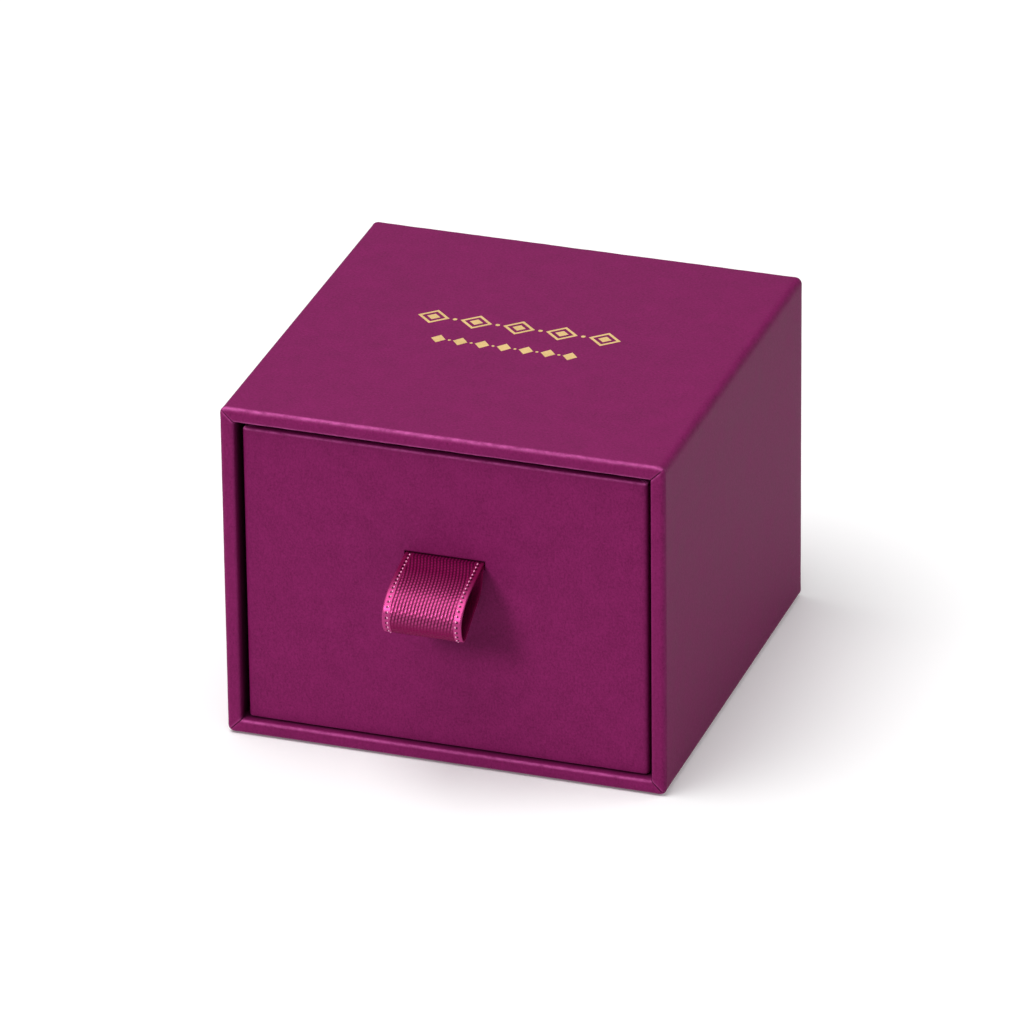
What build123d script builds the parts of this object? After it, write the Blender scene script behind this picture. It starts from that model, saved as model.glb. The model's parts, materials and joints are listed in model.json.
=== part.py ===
from build123d import *
import os
from math import sqrt

# A drawer jewelry box: a board sleeve wrapped in paper, closed at the back, and a lined tray that slides
# out at the front on a folded ribbon. +Z is up, the front faces -Y, and the origin is the middle of the
# underside. All sizes are in millimetres.

# Outside of the closed box
box_width = 70.0
box_depth = 70.0
box_height = 55.0

# Stock
paper = 0.15
sleeve_board = 2.0
drawer_board = 1.5
stay_tape = 0.1
card = 1.0

# Sleeve
long_edge_radius = 1.1  # the four edges that run from front to back
back_edge_radius = 0.8
rim_outer_radius = 0.6
rim_inner_radius = 0.5
sleeve_turn_in = 12.0  # paper folded into the mouth
back_flap = 9.0  # paper folded over the back
mitre_gap = 0.12  # open line where two folds meet at 45 degrees
mitre_depth = 0.35
sheet_margin = 2.0  # the base and back sheets stop this far from the edges
tape_leg = 7.0  # width of a stay tape on each side of its corner
tape_end = 4.0  # bare board at each end of a tape

# Drawer
side_clearance = 0.8
floor_clearance = 0.25
top_clearance = 1.3
back_clearance = 0.8
front_recess = 1.3  # from the sleeve's rim back to the drawer's front
drawer_corner_radius = 0.6
drawer_bottom_radius = 0.4
drawer_rim_radius = 0.4
drawer_turn_in = 13.0  # paper folded down inside the walls

# Ribbon
ribbon_width = 12.5
ribbon_thickness = 0.35
ply_gap = 0.1  # between the two plies in the slot
slot_below_rim = 17.4  # from the drawer's top edge down to the slot
slot_play = 0.15
slot_end_play = 0.2
tail_below_rim = 5.0
tail_bend_radius = 0.35
patch_margin = 2.0

# Ribbon loop, as the corners of its side outline, measured out from the drawer's front and down from the slot
loop_start = 0.35
shoulder_out = 10.2
shoulder_down = 2.85
shoulder_radius = 4.0
nose_out = 11.25
nose_down = 8.55
nose_radius = 1.3
belly_out = 1.25
belly_down = 3.4
belly_radius = 2.5
lip_out = 0.75
lip_radius = 0.3

# Insert
insert_clearance = 0.4
ring_headroom = 16.5  # from the drawer's top edge down to the pads' crown
ring_gap = 0.8  # between the two pads
velvet = 0.6
pad_crown = 1.2
pad_edge_radius = 4.0

# Places that the sleeve's pieces share
half_width = box_width / 2
front_y = -box_depth / 2
back_y = box_depth / 2
wrap_bottom = paper
wrap_back = back_y - paper
inner_half_width = half_width - paper - sleeve_board
floor_board_top = wrap_bottom + paper + sleeve_board
ceiling_board_bottom = box_height - paper - sleeve_board
back_board_front = wrap_back - paper - sleeve_board
turn_in_end = front_y + sleeve_turn_in

# Places that the drawer's pieces share
drawer_half_width = inner_half_width - paper - side_clearance
drawer_bottom = floor_board_top + paper + floor_clearance
drawer_top = ceiling_board_bottom - paper - top_clearance
drawer_front = front_y + front_recess
drawer_back = back_board_front - paper - back_clearance
tray_half_width = drawer_half_width - paper - drawer_board
tray_front = drawer_front + paper + drawer_board
tray_back = drawer_back - paper - drawer_board
tray_floor = drawer_bottom + paper + drawer_board
fold_end = drawer_top - drawer_turn_in
front_lining_face = tray_front + paper

# Places that the ribbon and the insert share
slot_z = drawer_top - slot_below_rim
ply_offset = (ply_gap + ribbon_thickness) / 2
slot_half_height = ply_gap / 2 + ribbon_thickness + slot_play
slot_half_width = ribbon_width / 2 + slot_end_play
tail_length = slot_below_rim - tail_below_rim
insert_front = front_lining_face + ribbon_thickness + paper + insert_clearance
insert_back = tray_back - paper - insert_clearance
insert_half_width = tray_half_width - paper - insert_clearance
insert_floor = tray_floor + paper
pad_base = insert_floor + card
pad_height = drawer_top - ring_headroom - pad_base
pad_depth = (insert_back - insert_front - ring_gap) / 2

# A length that reaches past the whole box
far = box_width + box_depth + box_height

# A flat cut of this share of a radius goes as deep into an edge as the round does
flat_share = 2 - sqrt(2)


def between(x=(-far, far), y=(-far, far), z=(-far, far)):
    size = (x[1] - x[0], y[1] - y[0], z[1] - z[0])
    return Pos((x[0] + x[1]) / 2, (y[0] + y[1]) / 2, (z[0] + z[1]) / 2) * Box(*size)


def soften(edges, radius, inset):
    """Rounds an edge of the paper, or cuts the edge of the board beneath it flat."""
    if inset:
        return chamfer(edges, flat_share * (radius - inset))
    return fillet(edges, radius)


def first_face(solid, axis):
    return solid.faces().sort_by(axis)[0]


def last_face(solid, axis):
    return solid.faces().sort_by(axis)[-1]


# Sleeve: one rounded outside and one inside serve the boards, the tapes, the wrap and the lining
def sleeve_outside(inset):
    solid = between(
        (-half_width + inset, half_width - inset),
        (front_y + inset, wrap_back - inset),
        (wrap_bottom + inset, box_height - inset),
    )
    solid = fillet(solid.edges().filter_by(Axis.Y), long_edge_radius - inset)
    solid = soften(first_face(solid, Axis.Y).edges(), rim_outer_radius, inset)
    return soften(last_face(solid, Axis.Y).edges(), back_edge_radius, inset)


def sleeve_inside(inset, start, end):
    return between(
        (-inner_half_width + inset, inner_half_width - inset),
        (start, end),
        (floor_board_top + inset, ceiling_board_bottom - inset),
    )


def soften_mouth(solid, inset):
    return soften(first_face(solid, Axis.Y).inner_wires()[0].edges(), rim_inner_radius, inset)


def sleeve_shell():
    shell = sleeve_outside(paper) - sleeve_inside(0, -far, back_board_front)
    return soften_mouth(shell, paper)


def sleeve_tapes():
    skin = sleeve_outside(paper) - sleeve_outside(paper + stay_tape)
    skin &= between(y=(front_y + tape_end, wrap_back - tape_end))
    sides = [(-far, tape_leg - half_width), (half_width - tape_leg, far)]
    levels = [(-far, wrap_bottom + tape_leg), (box_height - tape_leg, far)]
    return [skin & between(x=side, z=level) for side in sides for level in levels]


def sleeve_panels(boards):
    upright = (floor_board_top, ceiling_board_bottom)
    inner = (-inner_half_width, inner_half_width)
    return {
        "sleeve_top_board": boards & between(z=(ceiling_board_bottom, far)),
        "sleeve_bottom_board": boards & between(z=(-far, floor_board_top)),
        "sleeve_left_board": boards & between(x=(-far, -inner_half_width), z=upright),
        "sleeve_right_board": boards & between(x=(inner_half_width, far), z=upright),
        "sleeve_back_board": boards & between(x=inner, y=(back_board_front, far), z=upright),
    }


def sleeve_mitres(fold, face_y):
    """Lines at 45 degrees from the corners of the face at one end, across folds of that width."""
    length = fold * sqrt(2) + 2 * mitre_gap
    slits = []
    for side in (-1, 1):
        for base, rise in ((wrap_bottom, 1), (box_height, -1)):
            slit = Rot(0, 45 * side * rise, 0) * Box(length, 2 * mitre_depth, mitre_gap)
            slits.append(Pos(side * (half_width - fold / 2), face_y, base + rise * fold / 2) * slit)
    return slits


def sleeve_wrap(shell):
    solid = sleeve_outside(0) - sleeve_inside(paper, -far, turn_in_end)
    solid -= sleeve_inside(0, turn_in_end, back_board_front)
    solid = soften_mouth(solid, 0) - shell
    solid -= between(
        (-half_width + back_flap, half_width - back_flap),
        (back_board_front, far),
        (wrap_bottom + back_flap, box_height - back_flap),
    )
    rim = paper + sleeve_board + paper
    return solid - sleeve_mitres(rim, front_y) - sleeve_mitres(back_flap, wrap_back)


def sleeve_sheets():
    width = (-half_width + sheet_margin, half_width - sheet_margin)
    depth = (front_y + sheet_margin, wrap_back - sheet_margin)
    height = (wrap_bottom + sheet_margin, box_height - sheet_margin)
    return {
        "sleeve_base_sheet": between(width, depth, (0, wrap_bottom)),
        "sleeve_back_sheet": between(width, (wrap_back, back_y), height),
    }


def sleeve_lining():
    hollow = sleeve_inside(paper, -far, back_board_front - paper)
    return sleeve_inside(0, turn_in_end, back_board_front) - hollow


# Drawer: made from its own outside and inside in the same way
def drawer_outside(inset):
    solid = between(
        (-drawer_half_width + inset, drawer_half_width - inset),
        (drawer_front + inset, drawer_back - inset),
        (drawer_bottom + inset, drawer_top - inset),
    )
    solid = fillet(solid.edges().filter_by(Axis.Z), drawer_corner_radius - inset)
    return soften(first_face(solid, Axis.Z).edges(), drawer_bottom_radius, inset)


def tray_inside(inset, low, high):
    return between(
        (-tray_half_width + inset, tray_half_width - inset),
        (tray_front + inset, tray_back - inset),
        (low, high),
    )


def soften_rim(solid, inset):
    return soften(last_face(solid, Axis.Z).edges(), drawer_rim_radius, inset)


def drawer_shell():
    shell = drawer_outside(paper) - tray_inside(0, tray_floor, far)
    return soften_rim(shell, paper)


def drawer_tapes():
    skin = drawer_outside(paper) - drawer_outside(paper + stay_tape)
    skin &= between(z=(drawer_bottom + tape_end, drawer_top - tape_end))
    sides = [(-far, tape_leg - drawer_half_width), (drawer_half_width - tape_leg, far)]
    ends = [(-far, drawer_front + tape_leg), (drawer_back - tape_leg, far)]
    return [skin & between(x=side, y=end) for side in sides for end in ends]


def ribbon_slot():
    return between(
        (-slot_half_width, slot_half_width),
        (-far, front_lining_face),
        (slot_z - slot_half_height, slot_z + slot_half_height),
    )


def drawer_panels(boards):
    walls = (tray_floor, far)
    inner = (tray_front, tray_back)
    return {
        "drawer_base_board": boards & between(z=(-far, tray_floor)),
        "drawer_front_board": (boards & between(y=(-far, tray_front), z=walls)) - ribbon_slot(),
        "drawer_back_board": boards & between(y=(tray_back, far), z=walls),
        "drawer_left_board": boards & between(x=(-far, -tray_half_width), y=inner, z=walls),
        "drawer_right_board": boards & between(x=(tray_half_width, far), y=inner, z=walls),
    }


def drawer_mitres():
    """Lines at 45 degrees where the folds over the walls' top edges meet."""
    fold = paper + drawer_board + paper
    length = fold * sqrt(2) + 2 * mitre_gap
    slits = []
    for side in (-1, 1):
        for end, rise in ((drawer_front, 1), (drawer_back, -1)):
            slit = Rot(0, 0, -45 * side * rise) * Box(length, mitre_gap, 2 * mitre_depth)
            slits.append(Pos(side * (drawer_half_width - fold / 2), end + rise * fold / 2, drawer_top) * slit)
    return slits


def drawer_wrap(shell):
    solid = drawer_outside(0) - tray_inside(paper, fold_end, far)
    solid -= tray_inside(0, tray_floor, fold_end)
    solid = soften_rim(solid, 0) - shell
    return solid - drawer_mitres() - ribbon_slot()


def drawer_linings():
    floor_top = tray_floor + paper
    walls = tray_inside(0, floor_top, fold_end) - tray_inside(paper, -far, far)
    return {
        "drawer_wall_lining": walls - ribbon_slot(),
        "drawer_floor_lining": tray_inside(0, tray_floor, floor_top),
    }


# Ribbon: strips swept along their side outlines
def ribbon_strip(points, radii):
    path = Plane.YZ * FilletPolyline(*points, radius=radii)
    start = Plane(origin=path @ 0, x_dir=(1, 0, 0), z_dir=path % 0)
    return sweep(start * Rectangle(ribbon_width, ribbon_thickness), path=path)


def ribbon_tails():
    glued = front_lining_face + ribbon_thickness / 2
    tails = []
    for way in (1, -1):
        ply = slot_z + way * ply_offset
        points = [(drawer_front, ply), (glued, ply), (glued, slot_z + way * tail_length)]
        tails.append(ribbon_strip(points, tail_bend_radius))
    return tails


def ribbon_patch():
    half_tail = ribbon_width / 2
    tail_face = front_lining_face + ribbon_thickness

    def cover(margin, end):
        width = (-half_tail - margin, half_tail + margin)
        height = (slot_z - tail_length - margin, slot_z + tail_length + margin)
        return between(width, (front_lining_face, end), height)

    return cover(patch_margin, front_lining_face + paper) + cover(paper, tail_face + paper) - cover(0, tail_face)


def ribbon_loop():
    corners = [
        (loop_start, -ply_offset),
        (shoulder_out, shoulder_down),
        (nose_out, nose_down),
        (belly_out, belly_down),
        (lip_out, ply_offset),
        (loop_start, ply_offset),
    ]
    points = [(drawer_front - out, slot_z - down) for out, down in corners]
    return ribbon_strip(points, [shoulder_radius, nose_radius, belly_radius, lip_radius])


# Insert: two crowned pads on a card, with the ring slot between them
def pad_outline(width, inset):
    half = width / 2 - inset
    shoulder = pad_height - pad_crown - inset
    base = Polyline((-half, shoulder), (-half, 0), (half, 0), (half, shoulder))
    crown = ThreePointArc((half, shoulder), (0, pad_height - inset), (-half, shoulder))
    outline = make_face([base, crown])
    return fillet(outline.vertices().group_by(Axis.Y)[-1], pad_edge_radius - inset)


def pad(inset, middle_y):
    across = extrude(Plane.YZ * pad_outline(pad_depth, inset), far, both=True)
    along = extrude(Plane.XZ * pad_outline(2 * insert_half_width, inset), far, both=True)
    return Pos(0, middle_y, pad_base) * (across & along)


def insert_pieces():
    width = (-insert_half_width, insert_half_width)
    pieces = {"insert_card": between(width, (insert_front, insert_back), (insert_floor, pad_base))}
    for name, middle_y in (("front", insert_front + pad_depth / 2), ("rear", insert_back - pad_depth / 2)):
        foam = pad(velvet, middle_y)
        pieces[f"insert_{name}_foam"] = foam
        pieces[f"insert_{name}_velvet"] = pad(0, middle_y) - foam
    return pieces


sleeve = sleeve_shell()
sleeve_strips = sleeve_tapes()
drawer = drawer_shell()
drawer_strips = drawer_tapes()

nodes = {
    **sleeve_panels(sleeve - sleeve_strips),
    "sleeve_corner_tapes": Compound(children=sleeve_strips),
    "sleeve_wrap": sleeve_wrap(sleeve),
    **sleeve_sheets(),
    "sleeve_lining": sleeve_lining(),
    **drawer_panels(drawer - drawer_strips),
    "drawer_corner_tapes": Compound(children=drawer_strips),
    "drawer_wrap": drawer_wrap(drawer),
    **drawer_linings(),
    "ribbon_tails": Compound(children=ribbon_tails()),
    "ribbon_patch": ribbon_patch(),
    "ribbon_loop": ribbon_loop(),
    **insert_pieces(),
}

os.makedirs("parts", exist_ok=True)
for name, shape in nodes.items():
    shape.label = name
    export_step(shape, f"parts/{name}.step")
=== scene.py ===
import bmesh
import bpy
import json
import math
import numpy as np
from mathutils import Matrix, Vector, noise


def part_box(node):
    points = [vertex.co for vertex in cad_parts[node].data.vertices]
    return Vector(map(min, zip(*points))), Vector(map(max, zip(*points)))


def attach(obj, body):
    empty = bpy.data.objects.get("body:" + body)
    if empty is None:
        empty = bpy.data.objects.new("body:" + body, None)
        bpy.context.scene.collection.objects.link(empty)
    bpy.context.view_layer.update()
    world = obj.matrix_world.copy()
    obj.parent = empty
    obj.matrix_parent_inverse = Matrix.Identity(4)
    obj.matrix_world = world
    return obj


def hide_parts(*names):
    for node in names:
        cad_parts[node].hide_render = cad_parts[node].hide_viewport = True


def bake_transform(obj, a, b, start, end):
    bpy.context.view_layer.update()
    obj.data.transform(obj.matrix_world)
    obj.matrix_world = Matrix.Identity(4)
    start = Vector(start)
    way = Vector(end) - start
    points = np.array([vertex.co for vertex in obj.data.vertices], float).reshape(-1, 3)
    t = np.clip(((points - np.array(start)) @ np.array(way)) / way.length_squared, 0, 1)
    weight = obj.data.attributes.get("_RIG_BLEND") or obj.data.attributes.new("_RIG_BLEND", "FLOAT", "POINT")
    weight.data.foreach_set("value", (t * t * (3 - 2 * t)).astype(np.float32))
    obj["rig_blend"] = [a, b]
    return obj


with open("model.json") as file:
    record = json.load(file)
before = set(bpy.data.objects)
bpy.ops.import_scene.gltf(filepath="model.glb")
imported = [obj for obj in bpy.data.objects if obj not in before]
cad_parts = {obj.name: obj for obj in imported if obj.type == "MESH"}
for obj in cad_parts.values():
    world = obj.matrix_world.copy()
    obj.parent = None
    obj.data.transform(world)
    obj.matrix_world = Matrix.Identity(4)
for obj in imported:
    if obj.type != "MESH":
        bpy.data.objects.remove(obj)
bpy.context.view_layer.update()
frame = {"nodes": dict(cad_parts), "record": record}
mm = 0.001

# The box stands on the table at z = 0, its drawer facing -Y.
# Sizes are in millimetres unless a note says metres.


# Objects

def addObject(name, data):
    made = bpy.data.objects.new(name, data)
    bpy.context.scene.collection.objects.link(made)
    return made


def addFloats(mesh, label, values):
    attribute = mesh.attributes.new(label, "FLOAT", "POINT")
    attribute.data.foreach_set("value", np.asarray(values, np.float32))


def linkPiece(name, vertices, faces, material, smooth=True):
    mesh = bpy.data.meshes.new(name)
    mesh.from_pydata([tuple(v) for v in vertices], [], faces)
    mesh.polygons.foreach_set("use_smooth", [smooth] * len(mesh.polygons))
    mesh.materials.append(material)
    mesh.update()
    return addObject(name, mesh)


def meshPlaces(mesh):
    return np.array([v.co[:] for v in mesh.vertices])


def plainMesh(piece):
    # the evaluated result as the object's own mesh, with no modifier left
    made = bpy.data.meshes.new_from_object(piece.evaluated_get(bpy.context.evaluated_depsgraph_get()))
    old = piece.data
    piece.modifiers.clear()
    piece.data = made
    bpy.data.meshes.remove(old)
    return piece


def thicken(piece, thickness):
    modifier = piece.modifiers.new("paperThickness", "SOLIDIFY")
    modifier.thickness = thickness * mm
    modifier.offset = -1
    modifier.use_even_offset = True


def boxOf(node):
    low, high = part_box(node)
    return low / mm, high / mm


# Nodes

def setInputs(tree, node, inputs):
    # a socket is linked, a plain value is set
    for key, value in inputs.items():
        if isinstance(value, bpy.types.NodeSocket):
            tree.links.new(value, node.inputs[key])
        else:
            node.inputs[key].default_value = value


def addNode(tree, kind, inputs=None, output=0, **settings):
    # makes a node and hands back one of its outputs
    node = tree.nodes.new(kind)
    for name, value in settings.items():
        setattr(node, name, value)
    setInputs(tree, node, inputs or {})
    return node.outputs[output]


def maths(tree, operation, first, second=0.0, third=0.0, clamp=False):
    inputs = {0: first, 1: second, 2: third}
    return addNode(tree, "ShaderNodeMath", inputs, operation=operation, use_clamp=clamp)


def times(tree, first, second):
    return maths(tree, "MULTIPLY", first, second)


def scaled(tree, value, scale, shift, clamp=False):
    return maths(tree, "MULTIPLY_ADD", value, scale, shift, clamp)


def mixColour(tree, factor, first, second):
    return addNode(tree, "ShaderNodeMix", {0: factor, 6: first, 7: second}, 2, data_type="RGBA")


def ramp(tree, value, start, end, top=1.0):
    inputs = {"Value": value, "From Min": start, "From Max": end, "To Max": top}
    return addNode(tree, "ShaderNodeMapRange", inputs)


def speckle(tree, place, perMetre, detail, roughness=0.5, distortion=0.0):
    inputs = {"Vector": place, "Scale": perMetre, "Detail": detail, "Roughness": roughness}
    inputs["Distortion"] = distortion
    return addNode(tree, "ShaderNodeTexNoise", inputs, "Fac")


def relief(tree, strength, depth, height, **under):
    # a normal bent by a height, with the depth in metres
    inputs = {"Strength": strength, "Distance": depth, "Height": height, **under}
    return addNode(tree, "ShaderNodeBump", inputs)


def objectPlace(tree):
    return addNode(tree, "ShaderNodeTexCoord", output="Object")


def ownMask(tree, name):
    # a value that the piece's mesh carries
    return addNode(tree, "ShaderNodeAttribute", output="Fac", attribute_name=name)


def newMaterial(name):
    material = bpy.data.materials.new(name)
    material.use_nodes = True
    tree = material.node_tree
    return material, tree, tree.nodes["Principled BSDF"]


def newTree(name, kind, inputs, outputs):
    # a node group with named sockets, and the identifiers of its inputs
    tree = bpy.data.node_groups.new(name, kind)
    identifiers = {}
    for label, socketKind, value in inputs:
        socket = tree.interface.new_socket(label, in_out="INPUT", socket_type=socketKind)
        if value is not None:
            socket.default_value = value
        identifiers[label] = socket.identifier
    for label, socketKind in outputs:
        tree.interface.new_socket(label, in_out="OUTPUT", socket_type=socketKind)
    return tree, tree.nodes.new("NodeGroupInput"), tree.nodes.new("NodeGroupOutput"), identifiers


def linear(red, green, blue):
    # a colour picked on screen, 0 to 255, as the shader wants it
    values = [c / 255 for c in (red, green, blue)]
    return (*[v / 12.92 if v <= 0.04045 else ((v + 0.055) / 1.055) ** 2.4 for v in values], 1.0)


# Camera, floor and light

cameraView = {
    "azimuth": 18.846,  # degrees
    "elevation": 26.573,
    "roll": -0.667,
    "distance": 1456.6,
    "aim": (-0.78, 0.0, 25.847),
    "focalPixels": 9526,
    "framePixels": 1024,
    "sensor": 36.0,
}


def makeCamera(view):
    azimuth, elevation, roll = (math.radians(view[k]) for k in ("azimuth", "elevation", "roll"))
    level = math.cos(elevation)
    back = Vector((math.sin(azimuth) * level, -math.cos(azimuth) * level, math.sin(elevation)))
    right = Vector((0, 0, 1)).cross(back).normalized()
    up = back.cross(right)
    turnedRight = right * math.cos(roll) + up * math.sin(roll)
    turnedUp = up * math.cos(roll) - right * math.sin(roll)
    place = (Vector(view["aim"]) + back * view["distance"]) * mm
    data = bpy.data.cameras.new("camera")
    data.sensor_width = view["sensor"]
    data.lens = view["focalPixels"] / view["framePixels"] * view["sensor"]
    camera = addObject("camera", data)
    turn = Matrix((turnedRight, turnedUp, back)).transposed().to_4x4()
    camera.matrix_world = Matrix.Translation(place) @ turn
    bpy.context.scene.camera = camera


studio = {
    "world": 0.2,  # even white light from all round
    "aim": (0, 0, 0.025),  # metres, the middle of the box
    "floor": 3.0,  # metres
    "floorTone": 0.94,
    "floorRoughness": 0.9,
    "floorSpecular": 0.1,
    "floorGlow": 0.14,  # a lit table, which keeps the shadow light
    "lamps": [
        # name, way to the lamp, distance and size in metres, watts, whether it lights the table too
        ("overheadSoftbox", (-0.22, -0.22, 0.95), 0.9, 0.8, 7.9, True),
        ("frontKey", (-0.4, -0.78, 0.54), 0.95, 0.28, 5.9, False),
        ("rightFill", (0.79, 0.45, 0.45), 0.95, 0.8, 2.8, True),
        ("backCard", (-0.26, 0.85, 0.46), 1.0, 0.5, 0.55, True),
    ],
}


def makeWorld(studio):
    scene = bpy.context.scene
    scene.view_settings.view_transform = "Standard"
    scene.world = bpy.data.worlds.new("studioWorld")
    scene.world.use_nodes = True
    tree = scene.world.node_tree
    setInputs(tree, tree.nodes["Background"], {"Color": (1, 1, 1, 1), "Strength": studio["world"]})


def makeTable(studio):
    half = studio["floor"] / 2
    material, tree, shader = newMaterial("whiteTable")
    setInputs(tree, shader, {
        "Base Color": (*[studio["floorTone"]] * 3, 1),
        "Roughness": studio["floorRoughness"],
        "Specular IOR Level": studio["floorSpecular"],
        "Emission Color": (1, 1, 1, 1),
        "Emission Strength": studio["floorGlow"],
    })
    corners = [(-half, -half, 0), (half, -half, 0), (half, half, 0), (-half, half, 0)]
    floor = linkPiece("floor", corners, [(0, 1, 2, 3)], material, smooth=False)
    return floor


def makeLamps(studio, floor):
    offTable = bpy.data.collections.new("offTheTable")
    offTable.objects.link(floor)
    offTable.collection_objects[0].light_linking.link_state = "EXCLUDE"
    for name, toward, distance, size, power, onTable in studio["lamps"]:
        data = bpy.data.lights.new(name, "AREA")
        data.shape = "DISK"
        data.size = size
        data.energy = power
        lamp = addObject(name, data)
        direction = Vector(toward).normalized()
        lamp.location = Vector(studio["aim"]) + direction * distance
        lamp.rotation_euler = direction.to_track_quat("Z", "Y").to_euler()
        if not onTable:
            lamp.light_linking.receiver_collection = offTable


makeCamera(cameraView)
makeWorld(studio)
makeLamps(studio, makeTable(studio))
print("stage: camera, floor and light")


# Papers and board

paperFibre = {
    "fineShare": 0.6,
    "strandShare": 0.4,
    "mottleShare": 0.35,  # of the mottle in the height
    "strandTurn": (0.9, 0.8, 0.3),
    "strandStretch": (1.0, 1.0, 0.5),
    "depth": 0.0004,  # metres
}


def paperGrainGroup(fibre):
    # fine fibres and a soft mottle, finest on wrapping paper and coarsest on board
    number = "NodeSocketFloat"
    tree, start, end, _ = newTree(
        "paperGrain",
        "ShaderNodeTree",
        [("Fibre per metre", number, 2200.0), ("Mottle per metre", number, 260.0)],
        [("Fibre", number), ("Mottle", number), ("Height", number)],
    )
    perMetre = start.outputs["Fibre per metre"]
    place = objectPlace(tree)
    turned = {"Vector": place, "Rotation": fibre["strandTurn"], "Scale": fibre["strandStretch"]}
    strandPlace = addNode(tree, "ShaderNodeMapping", turned)
    fine = speckle(tree, place, perMetre, 3.0, 0.6)
    strands = speckle(tree, strandPlace, perMetre, 2.0, distortion=0.9)
    mottle = speckle(tree, place, start.outputs["Mottle per metre"], 4.0, 0.55)
    fibres = scaled(tree, strands, fibre["strandShare"], times(tree, fine, fibre["fineShare"]))
    height = scaled(tree, mottle, fibre["mottleShare"], fibres)
    setInputs(tree, end, {"Fibre": fibres, "Mottle": mottle, "Height": height})
    return tree


paperGrain = paperGrainGroup(paperFibre)


def grainOf(tree, fibrePerMetre, mottlePerMetre):
    node = tree.nodes.new("ShaderNodeGroup")
    node.node_tree = paperGrain
    setInputs(tree, node, {"Fibre per metre": fibrePerMetre, "Mottle per metre": mottlePerMetre})
    return [node.outputs[name] for name in ("Fibre", "Mottle", "Height")]


wrapPaper = {
    "deep": linear(91, 13, 61),
    "pale": linear(122, 27, 86),
    # one colour for real wear and for the painted highlight on folded edges
    "wornAndHighlight": linear(220, 104, 180),
    # one dark colour for the mitre hairlines and for painted shade in the mouth and slot
    "seamAndShade": linear(40, 6, 26),
    "fibrePerMetre": 3000.0,
    "mottlePerMetre": 300.0,
    "fibreTone": (1.9, -0.7),  # contrast and shift between deep and pale
    "mottleTone": 0.5,
    "rubPerMetre": 1500.0,
    "rubStretch": (0.45, 1.0, 1.0),  # streaks along the front edges
    "rubTone": (2.2, -0.45),
    "rubShare": 0.85,
    "roughness": 0.58,
    "mottleGloss": 0.1,
    "foldGloss": 0.08,
    "specular": 0.07,
    "bump": 0.08,
    "creasePerMetre": 1500.0,
    "crease": 0.7,
}


def wrapPaperMaterial(finish):
    material, tree, shader = newMaterial("plumWrapPaper")
    fibre, mottle, height = grainOf(tree, finish["fibrePerMetre"], finish["mottlePerMetre"])
    fold = ownMask(tree, "fold")
    place = objectPlace(tree)
    tone = scaled(tree, fibre, *finish["fibreTone"])
    tone = scaled(tree, mottle, finish["mottleTone"], tone, clamp=True)
    streaked = addNode(tree, "ShaderNodeMapping", {"Vector": place, "Scale": finish["rubStretch"]})
    patchy = speckle(tree, streaked, finish["rubPerMetre"], 4.0, 0.7)
    patchy = scaled(tree, patchy, *finish["rubTone"], clamp=True)
    # painted highlight with wear along the folds, patchy like rubbing
    rubbedAndLit = times(tree, times(tree, fold, patchy), finish["rubShare"])
    colour = mixColour(tree, tone, finish["deep"], finish["pale"])
    colour = mixColour(tree, rubbedAndLit, colour, finish["wornAndHighlight"])
    # dark mitre seams with painted shade, and painted shade in the mouth and slot
    colour = mixColour(tree, ownMask(tree, "seamAndShade"), colour, finish["seamAndShade"])
    gloss = finish["mottleGloss"]
    rough = scaled(tree, mottle, gloss, finish["roughness"] - gloss / 2)
    rough = scaled(tree, fold, -finish["foldGloss"], rough)
    crease = speckle(tree, place, finish["creasePerMetre"], 2.0)
    creased = times(tree, maths(tree, "SUBTRACT", crease, 0.5), fold)
    grainy = relief(tree, finish["bump"], paperFibre["depth"], height)
    setInputs(tree, shader, {
        "Base Color": colour,
        "Roughness": rough,
        "Normal": relief(tree, finish["crease"], paperFibre["depth"], creased, Normal=grainy),
        "Specular IOR Level": finish["specular"],
    })
    return material


plainPaper = {"tone": (1.5, -0.6), "mottleSize": 7, "mottleGloss": 0.12, "specular": 0.15}


def plainPaperMaterial(name, dark, light, roughness, fibrePerMetre, bump):
    material, tree, shader = newMaterial(name)
    _, mottle, height = grainOf(tree, fibrePerMetre, fibrePerMetre / plainPaper["mottleSize"])
    tone = scaled(tree, height, *plainPaper["tone"], clamp=True)
    gloss = plainPaper["mottleGloss"]
    setInputs(tree, shader, {
        "Base Color": mixColour(tree, tone, dark, light),
        "Roughness": scaled(tree, mottle, gloss, roughness - gloss / 2),
        "Normal": relief(tree, bump, paperFibre["depth"], height),
        "Specular IOR Level": plainPaper["specular"],
    })
    return material


plumPaper = wrapPaperMaterial(wrapPaper)
liningPaper = plainPaperMaterial("liningPaper", linear(92, 22, 68), linear(108, 32, 82), 0.7, 1800.0, 0.12)
greyBoard = plainPaperMaterial("greyBoard", linear(120, 112, 102), linear(164, 156, 144), 0.85, 1100.0, 0.3)
tapePaper = plainPaperMaterial("stayTape", linear(196, 186, 168), linear(222, 214, 198), 0.75, 1600.0, 0.15)


# Folded paper: rings of points round a rectangle, one ring for each step of the fold's profile

mitreSteps = [0.0, 0.03, 0.06, 0.1, 0.16, 0.26, 0.42, 0.66, 1.0, 1.5, 2.2, 3.0]  # from a mitred corner
lipTurn = (1.0, -0.3)  # beside a mitre the level flap stands up and the upright one lies down


def sideSteps(length, spacing, extra=()):
    # distances along one side from its first corner, close together near both corners
    near = mitreSteps[-1]
    count = max(3, round((length - 2 * near) / spacing))
    middle = np.linspace(near, length - near, count + 1)[1:-1]
    clear = 0.3 * spacing  # plain steps give way to extra ones this near
    middle = [s for s in middle if all(abs(s - e) > clear for e in extra)]
    return np.array(sorted([*mitreSteps, *middle, *extra, *[length - s for s in mitreSteps[2:]]]))


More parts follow.
